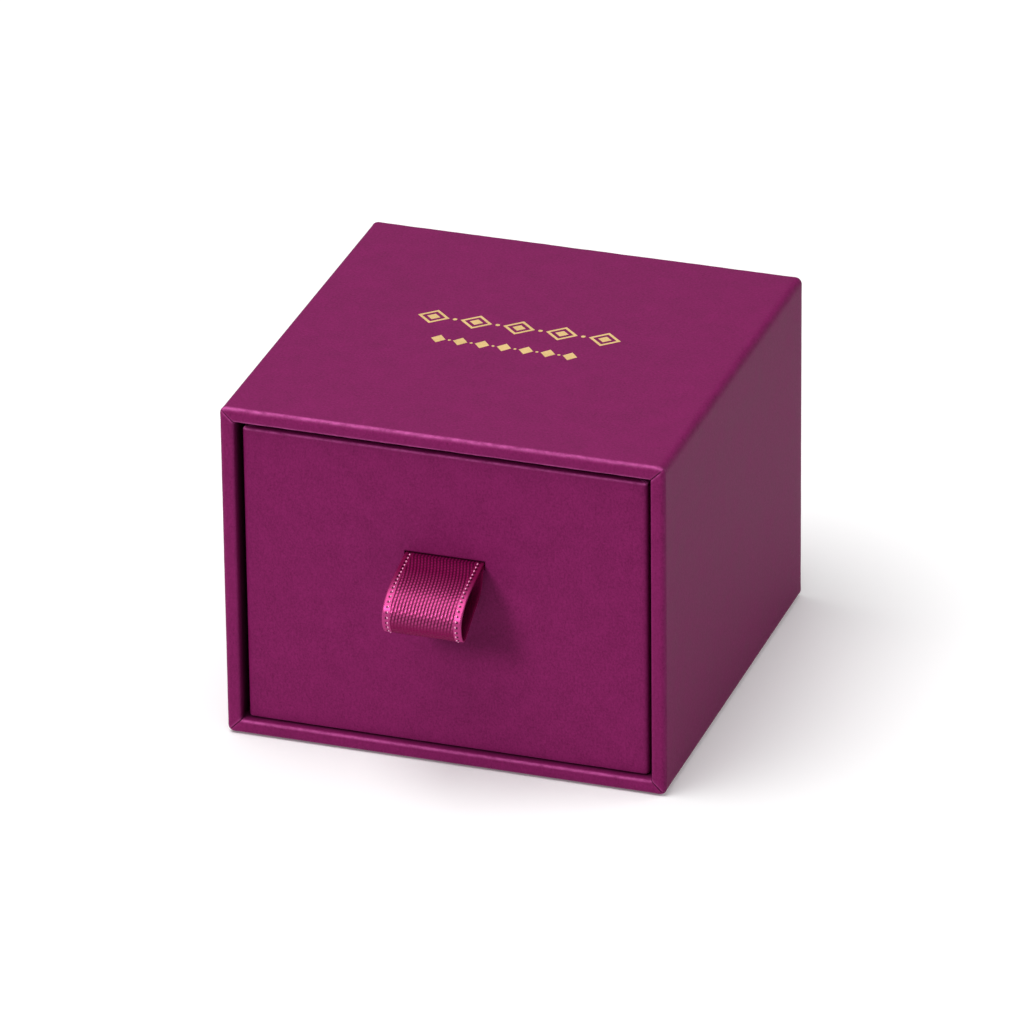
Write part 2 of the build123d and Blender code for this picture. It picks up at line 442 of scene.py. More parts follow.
def fitSteps(steps, length, inset):
    # the same steps on a ring that lies further in, where the corners keep their spacing
    near = mitreSteps[-1]
    inner = length - 2 * inset
    middle = near + (steps - near) * (inner - 2 * near) / (length - 2 * near)
    fromEnd = inner - (length - steps)
    return np.where(steps <= near, steps, np.where(length - steps <= near, fromEnd, middle))


def sidePoints(corner, along, inward, length, radius, steps):
    # points on one side of a ring with round corners
    corner, along, inward = (np.array(v, float) for v in (corner, along, inward))
    points = corner + np.outer(steps, along)
    for start, way, distance in ((corner, along, steps), (corner + along * length, -along, length - steps)):
        onArc = distance < radius
        turn = math.pi / 4 - np.arcsin(np.clip(distance[onArc] / (radius * math.sqrt(2)), 0, 1))
        out = -(np.outer(np.cos(turn), inward) + np.outer(np.sin(turn), way))
        points[onArc] = start + radius * (way + inward) + radius * out
    return points


def ringPoints(low, high, inset, radius, sides):
    width, height = high[0] - low[0] - 2 * inset, high[1] - low[1] - 2 * inset
    left, bottom = low[0] + inset, low[1] + inset
    right, top = left + width, bottom + height
    corners = [(left, bottom), (right, bottom), (right, top), (left, top)]
    ways = [(1, 0), (0, 1), (-1, 0), (0, -1)]
    ring = []
    for i, steps in enumerate(sides):
        length = width if i % 2 == 0 else height
        fitted = fitSteps(steps, length + 2 * inset, inset)
        ring.append(sidePoints(corners[i], ways[i], ways[(i + 1) % 4], length, radius, fitted))
    return np.concatenate(ring)


def quarterBend(count):
    # steps round a bend: the turn, the share gone one way and left the other way, and how bent it is
    for turn in np.linspace(0, math.pi / 2, count):
        yield turn, 1 - math.cos(turn), 1 - math.sin(turn), math.sin(2 * turn) ** 2


def edgeWave(ring, waves):
    # slow ups and downs along a folded edge
    def noiseAt(value, seed):
        return noise.noise(Vector((value, seed * 7.31, seed * 3.17)))  # each seed reads another place

    return np.array([
        sum(share * noiseAt(p * a + q * b, seed) for a, b, seed, share in waves)
        for p, q in ring
    ])


def mitreMasks(cut, sides, lengths):
    # each ring point's distance from its mitre, the dark hairline there with painted shade, its pale lip as a
    # painted highlight, and the lift of both
    steps = [np.minimum(side, length - side) for side, length in zip(sides, lengths)]
    distance = np.concatenate(steps) / math.sqrt(2)
    level = np.concatenate([np.full(len(side), i % 2 == 0) for i, side in enumerate(sides)])
    groove = np.clip(1 - distance / cut["half"], 0, 1)
    beside = np.exp(-distance / cut["lipReach"]) * (distance > mitreSteps[1])
    pale = np.exp(-((distance - cut["paleAt"]) / cut["paleHalf"]) ** 2)
    lift = cut["lip"] * beside * np.where(level, *lipTurn) - cut["depth"] * groove
    return distance, groove, pale * np.where(level, *cut["paleTone"]), lift


def tubeFaces(rings, count):
    # quads between neighbouring rings of this many points
    for row in range(rings - 1):
        for i in range(count):
            k = (i + 1) % count
            yield row * count + i, row * count + k, (row + 1) * count + k, (row + 1) * count + i


def foldedTube(name, rings, place, lift, dropFace=None, capEnd=False):
    # a ring is (points, height along the axis, fold mask of wear and painted highlight, mask of dark seams
    # and painted shade), and place puts a point in the frame
    count = len(rings[0][0])
    points = np.array([place(p, q, height) for ring, height, _, _ in rings for p, q in ring])
    faces = []
    for a, b, c, d in tubeFaces(len(rings), count):
        if dropFace is None or not dropFace(points[[a, b, c, d]].mean(0)):
            faces.append((a, d, c, b))
    if capEnd:
        last = (len(rings) - 1) * count
        faces.append(tuple(last + i for i in reversed(range(count))))
    piece = linkPiece(name, points * mm, faces, plumPaper)
    mesh = piece.data
    normals = np.zeros(points.size, np.float32)
    mesh.vertex_normals.foreach_get("vector", normals)
    moved = (points + normals.reshape(-1, 3) * np.concatenate(lift)[:, None]) * mm
    mesh.vertices.foreach_set("co", moved.astype(np.float32).ravel())
    mesh.update()
    for label, index in (("fold", 2), ("seamAndShade", 3)):
        addFloats(mesh, label, np.concatenate([np.broadcast_to(ring[index], count) for ring in rings]))
    return piece


sleevePaper = {
    "thickness": 0.14,
    "longRadius": 1.3,  # the tube's long edges
    "backRadius": 0.8,
    "backFlap": 9.0,
    "rimOuter": 0.8,  # the two folds of the mouth's rim
    "rimInner": 0.5,
    "innerCorner": 0.15,
    "spacing": 0.9,  # of the mesh, round the tube and along it
    "depthSpacing": 1.8,
    "mouthSteps": (2.2, 1.6, 1.1, 0.8),  # last rows before the rim
    "edgeSteps": (0.15, 0.4, 0.8, 1.4, 2.2, 3.2),  # first rows behind it
    "mitre": {
        "half": 0.1,
        "depth": 0.08,
        "lip": 0.03,
        "lipReach": 0.35,
        "paleAt": 0.2,
        "paleHalf": 0.09,
        "paleTone": (0.1, 0.4),  # painted highlight on the lip, on the level flaps, and on the upright ones
    },
    "insideMitre": 0.6,  # how much of it shows in the mouth
    "wearAndHighlight": (0.45, 0.05, 0.56, 0.05),  # painted highlight with wear on each rim edge, most where light falls: bottom, right, top and left
    "wave": (0.015, 0.03, 0.06, 0.03),  # height, in the same order
    "waves": ((0.23, 0.29, 1, 1.0), (0.61, 0.7, 2, 0.6), (1.7, 1.9, 5, 0.35)),  # per millimetre, seed, share
    "waveStart": 0.7,  # from a mitre
    "cornerSwell": 0.1,
    "swellReach": 0.8,
    # painted shade on the turned-in paper, deeper into the mouth
    "mouthShade": 0.8,
    "shadeStart": 0.5,  # behind the rim
    "shadeDepth": 1.2,
}


def sleeveProfile(cut, front, back, mouth, turnIn):
    # (depth along Y, inset, corner radius, fold mask, mitre mask) from the turned-in edge to the back flap
    inner, outer, rear, corner = (cut[k] for k in ("rimInner", "rimOuter", "backRadius", "innerCorner"))
    outerStart = cut["longRadius"] - outer
    evenEnd, *mouthSteps = cut["mouthSteps"]
    rows = []
    for y in [*np.linspace(turnIn, front + evenEnd, 8), *[front + d for d in mouthSteps]]:
        rows.append((y, mouth, corner, 0.0, cut["insideMitre"] if y < turnIn - 1 else 0.0))
    for _, gone, left, bent in quarterBend(7):
        rows.append((front + inner * left, mouth - inner * gone, corner + inner * gone, bent, 1.0))
    for share in np.linspace(0, 1, 9)[1:-1]:
        inset = (1 - share) * (mouth - inner) + share * outer
        rows.append((front, inset, (1 - share) * (corner + inner) + share * outerStart, 0.0, 1.0))
    for turn, gone, left, _ in quarterBend(9):
        inset = outer * left
        fold = (2.6 * math.sin(turn) ** 2 * math.cos(turn)) ** 2.5  # most on the upper part of the bend, where the painted highlight sits
        rows.append((front + outer * gone, inset, outerStart + outer - inset, fold, math.cos(turn) ** 4))
    levels = [front + outer + d for d in cut["edgeSteps"]]
    count = round((back - rear - levels[-1]) / cut["depthSpacing"])
    for y in [*levels, *np.linspace(levels[-1], back - rear, count + 1)[1:-1]]:
        rows.append((y, 0.0, cut["longRadius"], 0.0, 0.0))
    for turn, gone, left, bent in quarterBend(7):
        inset = rear * gone
        rows.append((back - rear * left, inset, cut["longRadius"] - inset, bent, math.sin(turn) ** 2))
    for inset in np.linspace(rear, cut["backFlap"], 7)[1:]:
        rows.append((back, inset, cut["longRadius"] - rear, 0.0, 1.0))
    return rows


def wallOf(wrap, board):
    # how thick a wall is with paper on both faces
    boardLow, boardHigh = boxOf(board)
    return 2 * boxOf(wrap)[1].x - boardLow.x - boardHigh.x


def makeSleevePaper(cut):
    low, high = boxOf("sleeve_wrap")
    mouth = wallOf("sleeve_wrap", "sleeve_right_board")
    turnIn = boxOf("sleeve_lining")[0].y
    lengths = [high.x - low.x, high.z - low.z] * 2
    sides = [sideSteps(length, cut["spacing"]) for length in lengths]
    distance, groove, paleLip, mitreLift = mitreMasks(cut["mitre"], sides, lengths)
    onSide = np.concatenate([np.full(len(steps), i) for i, steps in enumerate(sides)])
    wearAndHighlight = np.array(cut["wearAndHighlight"])[onSide]
    wave = np.array(cut["wave"])[onSide] * np.clip(distance / cut["waveStart"], 0, 1)
    bulge = cut["cornerSwell"] * np.exp(-(distance / cut["swellReach"]) ** 2)
    rings, lift = [], []
    for y, inset, radius, fold, mitre in sleeveProfile(cut, low.y, high.y, mouth, turnIn):
        ring = ringPoints((low.x, low.z), (high.x, high.z), inset, radius, sides)
        # painted shade in the mouth, carried by the seam-and-shade mask
        inward = (y - low.y - cut["shadeStart"]) / cut["shadeDepth"]
        shade = cut["mouthShade"] * min(max(inward, 0), 1) if inset == mouth else 0.0
        # painted highlight with wear on the folds, and on the lip beside each mitre
        pale = np.maximum(fold * wearAndHighlight, paleLip * mitre)
        rings.append((ring, y, pale, np.maximum(groove * mitre, shade)))
        swell = bulge * fold ** 0.25 * (inset < cut["rimOuter"])
        lift.append(mitreLift * mitre + wave * edgeWave(ring, cut["waves"]) * fold + swell)
    piece = foldedTube("sleevePaper", rings, lambda p, q, y: (p, y, q), lift)
    thicken(piece, cut["thickness"])
    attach(piece, "sleeve")
    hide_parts("sleeve_wrap")


makeSleevePaper(sleevePaper)
print("stage: sleeve paper")


drawerPaper = {
    "thickness": 0.14,
    "cornerRadius": 0.8,
    "rimRadius": 0.4,
    "bottomRadius": 0.25,
    "innerCorner": 0.15,
    "spacing": 0.9,  # of the mesh, round the drawer and down it
    "heightSpacing": 1.6,
    "rimSteps": (0.2, 0.5, 1.0, 1.8),  # first rows below the rim
    "baseSteps": (1.5, 3.0, 6.0),  # rows under the base
    "mitre": {
        "half": 0.06,
        "depth": 0.07,
        "lip": 0.025,
        "lipReach": 0.3,
        "paleAt": 0.14,
        "paleHalf": 0.08,
        # painted highlight on the lip beside the mitre
        "paleTone": (0.5, 0.5),
    },
    # painted highlight with wear on the drawer's folds
    "wearAndHighlight": 0.4,
    "bottomWearAndHighlight": 0.6,
    "tipReach": 0.3,  # of the bare corner tips
    "wave": 0.03,
    "waves": ((0.27, 0.31, 3, 1.0), (0.8, 0.9, 4, 0.5)),  # per millimetre, seed, share
    "frontDepth": 0.3,  # what counts as the front
    "slotPlay": 0.12,  # beside the ribbon
    "slotHalf": 0.7,
    "slotSteps": (0.0, 0.07, 0.2, 0.45),  # rows and columns of the mesh beside the slot
    "slotClear": 0.4,  # other rows keep this far away
    "slotLip": 0.05,
    "lipReach": 0.09,
    "slotTurn": (0.12, 0.2),  # how far the cut edge goes back and over first
    "slotDepth": 1.2,
    # painted shade in the slot
    "slotShade": 0.6,
}


def ribbonSlot():
    # the drawer's front, the slot's height and half the ribbon's width
    tailLow, tailHigh = boxOf("ribbon_tails")
    return boxOf("drawer_wrap")[0].y, (tailLow.z + tailHigh.z) / 2, tailHigh.x


drawerFront, slotHeight, slotReach = ribbonSlot()


def drawerProfile(cut, bottom, top, wall, foldEnd, slotLevels):
    # (height along Z, inset, corner radius, fold mask, mitre mask) from the turned-in edge to the base
    rim, low, corner, outside = (cut[k] for k in ("rimRadius", "bottomRadius", "innerCorner", "cornerRadius"))
    outerStart = outside - rim
    rows = []
    for z in np.linspace(foldEnd, top - rim, 10)[:-1]:
        rows.append((z, wall, corner, 0.0, 0.0))
    for _, gone, left, bent in quarterBend(6):
        rows.append((top - rim * left, wall - rim * gone, corner + rim * gone, bent, 1.0))
    for share in np.linspace(0, 1, 7)[1:-1]:
        inset = (1 - share) * (wall - rim) + share * rim
        rows.append((top, inset, (1 - share) * (corner + rim) + share * outerStart, 0.0, 1.0))
    for turn, gone, left, bent in quarterBend(7):
        inset = rim * left
        rows.append((top - rim * gone, inset, outside - inset, bent, math.cos(turn) ** 2))
    levels = [top - rim - d for d in cut["rimSteps"]]
    count = round((levels[-1] - bottom - low) / cut["heightSpacing"])
    plain = np.linspace(levels[-1], bottom + low, count + 1)[1:-1]
    levels += [z for z in plain if all(abs(z - e) > cut["slotClear"] for e in slotLevels)]
    for z in sorted([*levels, *slotLevels], reverse=True):
        rows.append((z, 0.0, outside, 0.0, 0.0))
    for _, gone, left, bent in quarterBend(6):
        inset = low * gone
        rows.append((bottom + low * left, inset, outside - inset, cut["bottomWearAndHighlight"] * bent, 0.0))
    for inset in cut["baseSteps"]:
        rows.append((bottom, inset, outside - low, 0.0, 0.0))
    return rows


def foldIntoSlot(piece, cut):
    # the slot's cut edge, pressed over the board and back through it, its colour painted dark as shade
    shape = bmesh.new()
    shape.from_mesh(piece.data)
    seamAndShade = shape.verts.layers.float["seamAndShade"]
    nearFront = (drawerFront + cut["frontDepth"]) * mm
    edges = [e for e in shape.edges if e.is_boundary and all(v.co.y < nearFront for v in e.verts)]
    for edge in edges:
        for vertex in edge.verts:
            vertex[seamAndShade] = cut["slotShade"]
    for back, press in (cut["slotTurn"], (cut["slotDepth"], 0.0)):
        made = bmesh.ops.extrude_edge_only(shape, edges=edges)["geom"]
        edges = [e for e in made if isinstance(e, bmesh.types.BMEdge)]
        for vertex in (v for v in made if isinstance(v, bmesh.types.BMVert)):
            vertex.co.y += back * mm
            vertex.co.z -= math.copysign(press * mm, vertex.co.z - slotHeight * mm)
            vertex[seamAndShade] = 1.0
    shape.to_mesh(piece.data)
    shape.free()


def makeDrawerPaper(cut):
    low, high = boxOf("drawer_wrap")
    wall = wallOf("drawer_wrap", "drawer_right_board")
    foldEnd = boxOf("drawer_wall_lining")[1].z
    nearFront = low.y + cut["frontDepth"]
    slotWide, slotTall = slotReach + cut["slotPlay"], cut["slotHalf"]
    columns = [high.x + way * (slotWide + step) for way in (-1, 1) for step in cut["slotSteps"]]
    slotLevels = [slotHeight + way * (slotTall + step) for way in (-1, 1) for step in cut["slotSteps"]]
    lengths = [high.x - low.x, high.y - low.y] * 2
    sides = [sideSteps(length, cut["spacing"], () if i else columns) for i, length in enumerate(lengths)]
    distance, groove, paleLip, mitreLift = mitreMasks(cut["mitre"], sides, lengths)
    wornAndHighlight = cut["wearAndHighlight"] + (1 - cut["wearAndHighlight"]) * np.exp(-(distance / cut["tipReach"]) ** 2)
    rings, lift = [], []
    for z, inset, radius, fold, mitre in drawerProfile(cut, low.z, high.z, wall, foldEnd, slotLevels):
        ring = ringPoints((low.x, low.y), (high.x, high.y), inset, radius, sides)
        outside = np.maximum(np.abs(ring[:, 0]) - slotWide, abs(z - slotHeight) - slotTall)
        onFront = (ring[:, 1] < nearFront) * (inset == 0)
        pressed = cut["slotLip"] * onFront * np.exp(-np.maximum(outside, 0) / cut["lipReach"])
        # painted highlight with wear on the folds and on the lips beside the mitres
        rings.append((ring, z, np.maximum(fold * wornAndHighlight, paleLip * mitre), groove * mitre))
        lift.append(mitreLift * mitre + cut["wave"] * edgeWave(ring, cut["waves"]) * fold - pressed)

    def inSlot(middle):
        x, y, z = middle
        return y < nearFront and abs(x) < slotWide and abs(z - slotHeight) < slotTall

    piece = foldedTube("drawerPaper", rings, lambda p, q, z: (p, q, z), lift, dropFace=inSlot, capEnd=True)
    foldIntoSlot(piece, cut)
    thicken(piece, cut["thickness"])
    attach(piece, "drawer")
    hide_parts("drawer_wrap")


makeDrawerPaper(drawerPaper)
print("stage: drawer paper")


# Ribbon pull: one strip from tail to tail, out through the slot and back

ribbon = {
    "width": 12.5,
    "loop": 27.9,  # length outside the slot, for the slant of the weave
    "half": 0.16,  # half the thickness
    "ribbed": 4.94,  # half the width between the selvedges
    "ribPitch": 0.52,
    "ribLift": 0.012,
    "weftPitch": 0.6,
    "selvedgeSteps": (0.12, 0.28, 0.45, 0.65, 0.85, 1.0),  # columns beside the ribs
    "rimSteps": (0.09, 0.03, 0.0),  # and in from the edge
    "rimRound": 0.12,
    "rimLeast": 0.04,  # keeps the edge from being sharp
    "stitchIn": 0.9,  # from the edge
    "stitchPitch": 0.8,
    "stitchProud": 0.01,
    "stitchStart": 0.15,  # from the slot
    "step": 0.22,  # of the mesh along the strip
    "bend": (0.1, 2.5),  # where it bends in front of the drawer
}
# (out from the drawer's front, down from the slot) of the control points on the strip's middle line
ribbonTail = [
    (-1.97, 12.4), (-1.97, 8.0), (-1.97, 4.0), (-1.97, 1.3), (-1.97, 0.4), (-1.85, 0.235), (-1.2, 0.225),
]
ribbonLoop = [
    (-0.4, -0.225), (0.7, -0.2), (2.6, 0.42), (5.38, 0.99), (8.23, 1.91), (10.38, 3.52), (11.09, 5.53),
    (10.35, 7.48), (9.33, 8.46), (6.9, 6.75), (4.2, 5.2), (1.6, 4.0), (0.62, 1.7), (0.5, 0.4), (-0.3, 0.225),
]
ribbonRoute = [(out, -down) for out, down in ribbonTail] + ribbonLoop + ribbonTail[::-1]


def routePoints(route):
    # a smooth line led by the control points, as (y, z)
    curve = bpy.data.curves.new("ribbonRoute", "CURVE")
    curve.dimensions = "3D"
    spline = curve.splines.new("NURBS")
    spline.points.add(len(route) - 1)
    for point, (out, down) in zip(spline.points, route):
        point.co = (0, (drawerFront - out) * mm, (slotHeight - down) * mm, 1)
    spline.order_u = 4
    spline.use_endpoint_u = True
    spline.resolution_u = 40
    holder = addObject("ribbonRoute", curve)
    mesh = bpy.data.meshes.new_from_object(holder)
    points = meshPlaces(mesh) / mm
    bpy.data.objects.remove(holder)
    bpy.data.curves.remove(curve)
    bpy.data.meshes.remove(mesh)
    return points[:, 1:]


def pointsAt(marks, lengths, line):
    # the points at these lengths along a line
    return np.stack([np.interp(marks, lengths, line[:, i]) for i in range(2)], axis=1)


def stripNormals(line):
    tangent = np.gradient(line, axis=0)
    tangent /= np.linalg.norm(tangent, axis=1)[:, None]
    return np.stack([tangent[:, 1], -tangent[:, 0]], axis=1)


ribbonFinish = {
    # painted shade in the grooves between the ribs and between the weft dashes
    "groove": linear(72, 3, 39),
    # the thread in painted shade near the slot, and paler with a painted sheen at the bend
    "thread": linear(142, 17, 85),
    "sheenLitThread": linear(174, 58, 118),
    "foldShadeTone": linear(112, 10, 64),  # painted shade behind the fold
    # the selvedge lit at the bend on the outer face, and in painted shade near the slot and on the inner face
    "selvedge": linear(162, 52, 110),
    "shadedSelvedge": linear(124, 14, 70),
    # painted shade in the stitch holes
    "holeShade": linear(34, 0, 18),
    "skew": (-0.35, 0.022),  # slant of the ribs at the slot, and how it changes along the loop
    "twist": 0.36,  # step of the weft from rib to rib
    "ribRound": 1.8,
    "weftRound": 0.6,
    "weftTone": (0.75, 0.25),
    "bend": (3.0, 10.0),  # from the slot, where the thread gets paler as a painted sheen
    "flat": (26.8, 28.2),  # along the strip, where the weave fades behind the fold into painted shade
    "flatShare": 0.9,
    "flatTone": 0.3,
    "selvedgeFade": (8.0, 0.02),  # per millimetre, and how far out it starts
    "holeOut": 0.2,  # from the stitches
    "holeEdge": (-5.0, 1.3),
    "holeGap": (-1.4, 0.1),
    "roughness": 0.36,
    "metallic": 0.5,
    "specular": 0.03,
    "specularTint": (1.0, 0.5, 0.78, 1),
    "coat": 0.15,
    "coatRoughness": 0.36,
    "bump": 0.35,
    "bumpDepth": 0.00012,  # metres
    "weftHeight": (0.6, 0.4),
    "selvedgeHeight": (0.8, 0.8, 0.8, 1),
}


def archOf(tree, value):
    # a round hump over each whole step of the value
    return maths(tree, "SINE", times(tree, maths(tree, "FRACT", value), math.pi))


def weaveMasks(tree, cut, finish, across, along, fromSlot):
    # humps across the ribs and along the weft, which slant with the loop
    slant, change = finish["skew"]
    lean = scaled(tree, fromSlot, change, slant)
    ribAt = maths(tree, "DIVIDE", scaled(tree, fromSlot, lean, across), cut["ribPitch"])
    weftAt = maths(tree, "DIVIDE", along, cut["weftPitch"])
    weftAt = scaled(tree, maths(tree, "FLOOR", ribAt), finish["twist"], weftAt)
    return archOf(tree, ribAt), archOf(tree, weftAt)


def stitchHoles(tree, cut, finish, edge, along):
    # painted shade: dark holes between the stitches, a little outside their line
    line = cut["width"] / 2 - cut["stitchIn"] + finish["holeOut"]
    fromLine = maths(tree, "ABSOLUTE", maths(tree, "SUBTRACT", edge, line))
    nearLine = scaled(tree, fromLine, *finish["holeEdge"], clamp=True)
    phase = maths(tree, "COSINE", times(tree, along, 2 * math.pi / cut["stitchPitch"]))
    return times(tree, nearLine, scaled(tree, phase, *finish["holeGap"], clamp=True))


def ribbonMaterial(cut, finish, length):
    material, tree, shader = newMaterial("satinRibbon")
    across, along, outer = (ownMask(tree, name) for name in ("across", "along", "outer"))
    fromSlot = maths(tree, "MAXIMUM", maths(tree, "SUBTRACT", along, (length - cut["loop"]) / 2), 0.0)
    rib, weft = weaveMasks(tree, cut, finish, across, along, fromSlot)
    bend = ramp(tree, fromSlot, *finish["bend"])
    flat = ramp(tree, along, *finish["flat"], finish["flatShare"])
    gloss = maths(tree, "SUBTRACT", 1.0, flat)
    weftTone = scaled(tree, maths(tree, "POWER", weft, finish["weftRound"]), *finish["weftTone"])
    thread = times(tree, maths(tree, "POWER", rib, finish["ribRound"]), weftTone)
    thread = scaled(tree, flat, finish["flatTone"], times(tree, thread, gloss))
    edge = maths(tree, "ABSOLUTE", across)
    fade, start = finish["selvedgeFade"]
    selvedge = scaled(tree, edge, fade, -fade * (cut["ribbed"] + start), clamp=True)
    holeShade = times(tree, stitchHoles(tree, cut, finish, edge, along), outer)
    # painted sheen at the bend on the thread and the outer selvedge, painted shade near the slot
    yarn = mixColour(tree, bend, finish["thread"], finish["sheenLitThread"])
    binding = mixColour(tree, times(tree, bend, outer), finish["shadedSelvedge"], finish["selvedge"])
    # painted shade in the grooves of the weave
    colour = mixColour(tree, thread, finish["groove"], yarn)
    # painted shade behind the fold
    colour = mixColour(tree, flat, colour, finish["foldShadeTone"])
    colour = mixColour(tree, selvedge, colour, binding)
    # painted shade in the stitch holes
    colour = mixColour(tree, holeShade, colour, finish["holeShade"])
    woven = times(tree, maths(tree, "POWER", rib, 0.5), scaled(tree, weft, *finish["weftHeight"]))
    height = mixColour(tree, selvedge, woven, finish["selvedgeHeight"])
    normal = relief(tree, finish["bump"], finish["bumpDepth"], height)
    setInputs(tree, shader, {
        "Base Color": colour,
        "Metallic": times(tree, gloss, finish["metallic"]),
        "Roughness": finish["roughness"],
        "Specular IOR Level": finish["specular"],
        "Specular Tint": finish["specularTint"],
        "Normal": normal,
        "Coat Weight": times(tree, gloss, finish["coat"]),
        "Coat Roughness": finish["coatRoughness"],
        "Coat Normal": normal,
    })
    return material


def ribbonSection(cut):
    # one loop round the strip's cross-section, ribs on both faces and round edges
    half, ribbed = cut["width"] / 2, cut["ribbed"]
    ribs = np.arange(-ribbed, ribbed + 1e-6, cut["ribPitch"] / 4)
    rim = np.array([*[ribbed + d for d in cut["selvedgeSteps"]], *[half - d for d in cut["rimSteps"]]])
    columns = np.concatenate([-rim[::-1], ribs, rim])
    wave = cut["ribLift"] * np.cos(2 * math.pi * columns / cut["ribPitch"] + math.pi)
    lift = np.where(np.abs(columns) < ribbed, wave, 0.0)
    edge = np.clip((half - np.abs(columns)) / cut["rimRound"], 0, 1)
    thick = (cut["half"] + lift) * np.sqrt(np.clip(1 - (1 - edge) ** 2, cut["rimLeast"], 1))
    return np.concatenate([np.stack([columns, thick], 1), np.stack([columns, -thick], 1)[::-1]])


def makeRibbon(cut):
    route = routePoints(ribbonRoute)
    lengths = np.concatenate([[0], np.cumsum(np.linalg.norm(np.diff(route, axis=0), axis=1))])
    total = lengths[-1]
    steps = np.linspace(0, total, round(total / cut["step"]) + 1)
    line = pointsAt(steps, lengths, route)
    normals = stripNormals(line)
    section = ribbonSection(cut)
    count = len(section)
    vertices = []
    for (y, z), (ny, nz) in zip(line, normals):
        for x, offset in section:
            vertices.append((x * mm, (y + ny * offset) * mm, (z + nz * offset) * mm))
    faces = list(tubeFaces(len(line), count))
    last = (len(line) - 1) * count
    faces.append(tuple(reversed(range(count))))
    faces.append(tuple(last + i for i in range(count)))
    piece = linkPiece("ribbonPull", vertices, faces, ribbonMaterial(cut, ribbonFinish, total))
    tip = np.argmin(line[:, 0])
    outerFace = [0.0, 1.0] if normals[tip, 0] > 0 else [1.0, 0.0]
    addFloats(piece.data, "across", np.tile(section[:, 0], len(line)))
    addFloats(piece.data, "along", np.repeat(steps, count))
    addFloats(piece.data, "outer", np.tile(np.repeat(outerFace, count // 2), len(line)))
    return piece, line, steps, total


ribbonPull, ribbonLine, ribbonSteps, ribbonLength = makeRibbon(ribbon)
print("stage: ribbon", round(ribbonLength, 1), "mm long")


# Stitches along both edges of the ribbon

def vectorMaths(tree, operation, inputs):
    return addNode(tree, "ShaderNodeVectorMath", inputs, operation=operation)


def stitchTree():
    number = "NodeSocketFloat"
    tree, start, end, sockets = newTree(
        "ribbonStitches",
        "GeometryNodeTree",
        [
            ("Geometry", "NodeSocketGeometry", None),
            ("Pitch", number, 0.0008),  # metres, like the next four
            ("Line", number, 0.00535),
            ("Lift", number, 0.00018),
            ("Stitch length", number, 0.0004),
            ("Stitch width", number, 0.00027),
            ("Thread", "NodeSocketMaterial", None),
        ],
        [("Geometry", "NodeSocketGeometry")],
    )
    curve = addNode(tree, "GeometryNodeMeshToCurve", {"Mesh": start.outputs["Geometry"]})
    spacing = {"Curve": curve, "Length": start.outputs["Pitch"]}
    spaced = addNode(tree, "GeometryNodeResampleCurve", spacing, mode="LENGTH")
    tangent = addNode(tree, "GeometryNodeInputTangent")
    turned = addNode(tree, "FunctionNodeAlignRotationToVector", {"Vector": tangent}, axis="X")
    ball = addNode(tree, "GeometryNodeMeshUVSphere", {"Segments": 8, "Rings": 5, "Radius": 0.5})
    width = start.outputs["Stitch width"]
    size = addNode(tree, "ShaderNodeCombineXYZ", {0: start.outputs["Stitch length"], 1: width, 2: width})
    outward = vectorMaths(tree, "CROSS_PRODUCT", {0: tangent, 1: (1.0, 0.0, 0.0)})
    raised = vectorMaths(tree, "SCALE", {0: outward, "Scale": start.outputs["Lift"]})
    joined = tree.nodes.new("GeometryNodeJoinGeometry")
    for side in (-1.0, 1.0):
        out = times(tree, start.outputs["Line"], side)
        beside = addNode(tree, "ShaderNodeCombineXYZ", {0: out})
        offset = vectorMaths(tree, "ADD", {0: beside, 1: raised})
        moved = addNode(tree, "GeometryNodeSetPosition", {"Geometry": spaced, "Offset": offset})
        instances = {"Points": moved, "Instance": ball, "Scale": size, "Rotation": turned}
        setInputs(tree, joined, {0: addNode(tree, "GeometryNodeInstanceOnPoints", instances)})
    real = addNode(tree, "GeometryNodeRealizeInstances", {"Geometry": joined.outputs[0]})
    smooth = addNode(tree, "GeometryNodeSetShadeSmooth", {"Geometry": real})
    thread = {"Geometry": smooth, "Material": start.outputs["Thread"]}
    setInputs(tree, end, {0: addNode(tree, "GeometryNodeSetMaterial", thread)})
    return tree, sockets


threadFinish = {
    "dark": linear(200, 92, 150),
    "light": linear(238, 164, 202),
    "twistPerMetre": 9000.0,
    "roughness": 0.35,
    "specular": 0.6,
}


def threadMaterial(finish):
    material, tree, shader = newMaterial("stitchThread")
    twist = speckle(tree, objectPlace(tree), finish["twistPerMetre"], 2.0)
    setInputs(tree, shader, {
        "Base Color": mixColour(tree, twist, finish["dark"], finish["light"]),
        "Roughness": finish["roughness"],
        "Specular IOR Level": finish["specular"],
    })
    return material


def makeStitches(cut, line, steps):
    pitch = cut["stitchPitch"]
    outside = steps[line[:, 0] < drawerFront - cut["stitchStart"]]
    first, last = math.ceil(outside[0] / pitch) * pitch, math.floor(outside[-1] / pitch) * pitch
    marks = np.linspace(first, last, 10 * round((last - first) / pitch) + 1)  # ten to a stitch
    points = [(0, y * mm, z * mm) for y, z in pointsAt(marks, steps, line)]
    mesh = bpy.data.meshes.new("ribbonStitches")
    mesh.from_pydata(points, [(i, i + 1) for i in range(len(points) - 1)], [])
    piece = addObject("ribbonStitches", mesh)
    tree, sockets = stitchTree()
    modifier = piece.modifiers.new("stitches", "NODES")
    modifier.node_group = tree
    modifier[sockets["Pitch"]] = pitch * mm
    modifier[sockets["Line"]] = (cut["width"] / 2 - cut["stitchIn"]) * mm
    modifier[sockets["Lift"]] = (cut["half"] + cut["stitchProud"]) * mm
    modifier[sockets["Thread"]] = threadMaterial(threadFinish)
    return plainMesh(piece)


